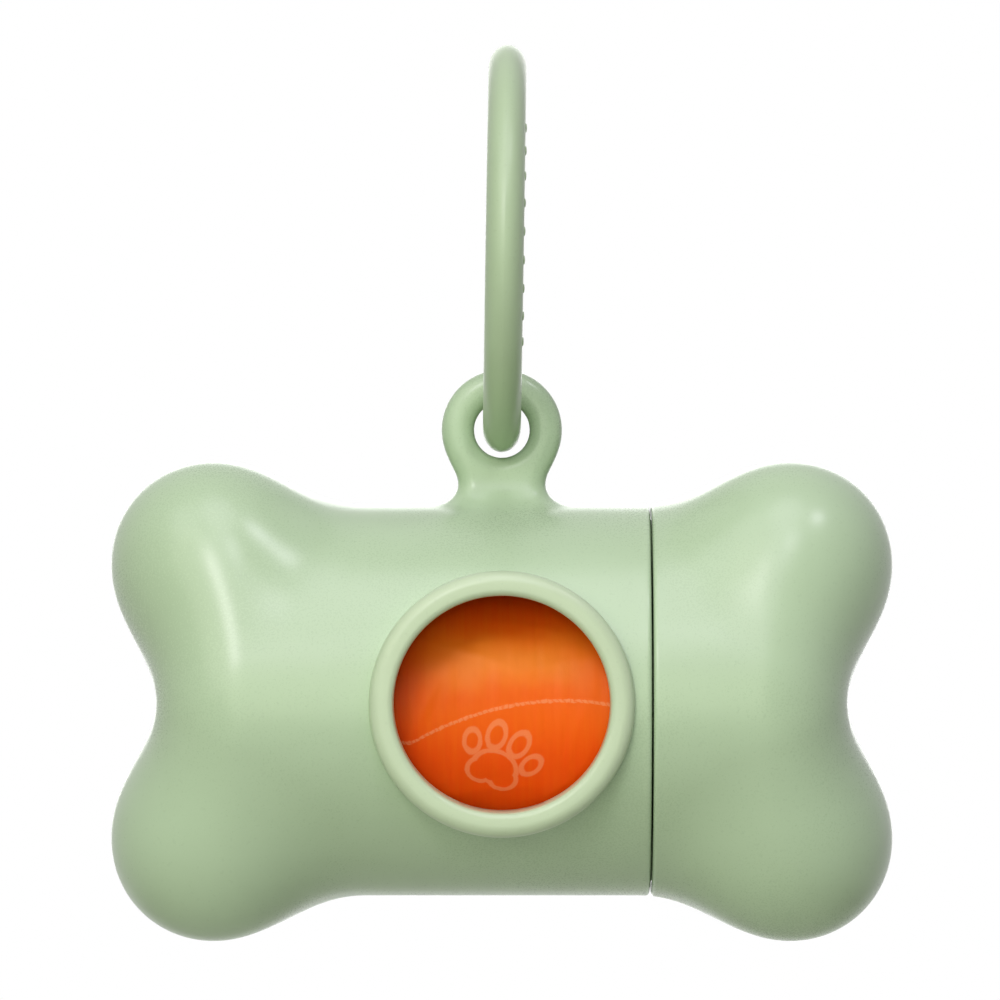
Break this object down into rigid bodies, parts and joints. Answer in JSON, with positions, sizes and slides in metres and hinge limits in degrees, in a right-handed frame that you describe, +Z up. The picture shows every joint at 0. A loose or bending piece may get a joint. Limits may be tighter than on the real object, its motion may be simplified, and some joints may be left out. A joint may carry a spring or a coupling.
{
  "type": "dog waste bag dispenser",
  "caption": "Bone-shaped dispenser for a roll of waste bags, with a round window, a screw-off end and a soft hanging ring.",
  "frame": {"origin": "where a leash hangs in the ring: the inside top of the ring", "axes": "+Z up; +X along the barrel towards the screw-off cap; the window faces -Y"},
  "size_m": [0.084, 0.0447, 0.0966],
  "materials": {
    "shell_plastic": "satin sage green moulded plastic",
    "rim_plastic": "satin pale sage plastic",
    "ring_silicone": "satin sage green silicone",
    "inner_plastic": "plain moulded green plastic",
    "seal_rubber": "matt black rubber",
    "bag_film": "thin orange film, slightly glossy and creased",
    "card": "brown card"
  },
  "bodies": {
    "ring": {"hang_ring": "ring_silicone", "ring_joiner": "inner_plastic"},
    "body": {"front_shell": "shell_plastic", "back_shell": "shell_plastic", "roll_tube": "inner_plastic", "window_rim": "rim_plastic"},
    "roll": {"bag_roll": "bag_film", "lead_bag": "bag_film", "roll_core": "card"},
    "seal": {"neck_seal": "seal_rubber"},
    "cap": {"cap_front_shell": "shell_plastic", "cap_back_shell": "shell_plastic", "cap_cup": "inner_plastic"}
  },
  "joints": [
    {"name": "body_swing", "type": "hinge", "parent": "ring", "child": "body", "pos_m": [-0.00057, 0, -0.0362], "axis": [0, 1, 0], "range_deg": [-90, 90]},
    {"name": "roll_spin", "type": "hinge", "parent": "body", "child": "roll", "pos_m": [-0.00057, 0, -0.0659], "axis": [1, 0, 0], "continuous": true},
    {"name": "cap_turn", "type": "hinge", "parent": "body", "child": "seal", "pos_m": [-0.00057, 0, -0.0656], "axis": [1, 0, 0], "range_deg": [0, 901]},
    {"name": "cap_travel", "type": "slide", "parent": "seal", "child": "cap", "axis": [1, 0, 0], "range_m": [0, 0.02]}
  ],
  "couplings": [
    {"joint": "cap_turn", "follows": "cap_travel", "rad_per_m": 785.4}
  ]
}
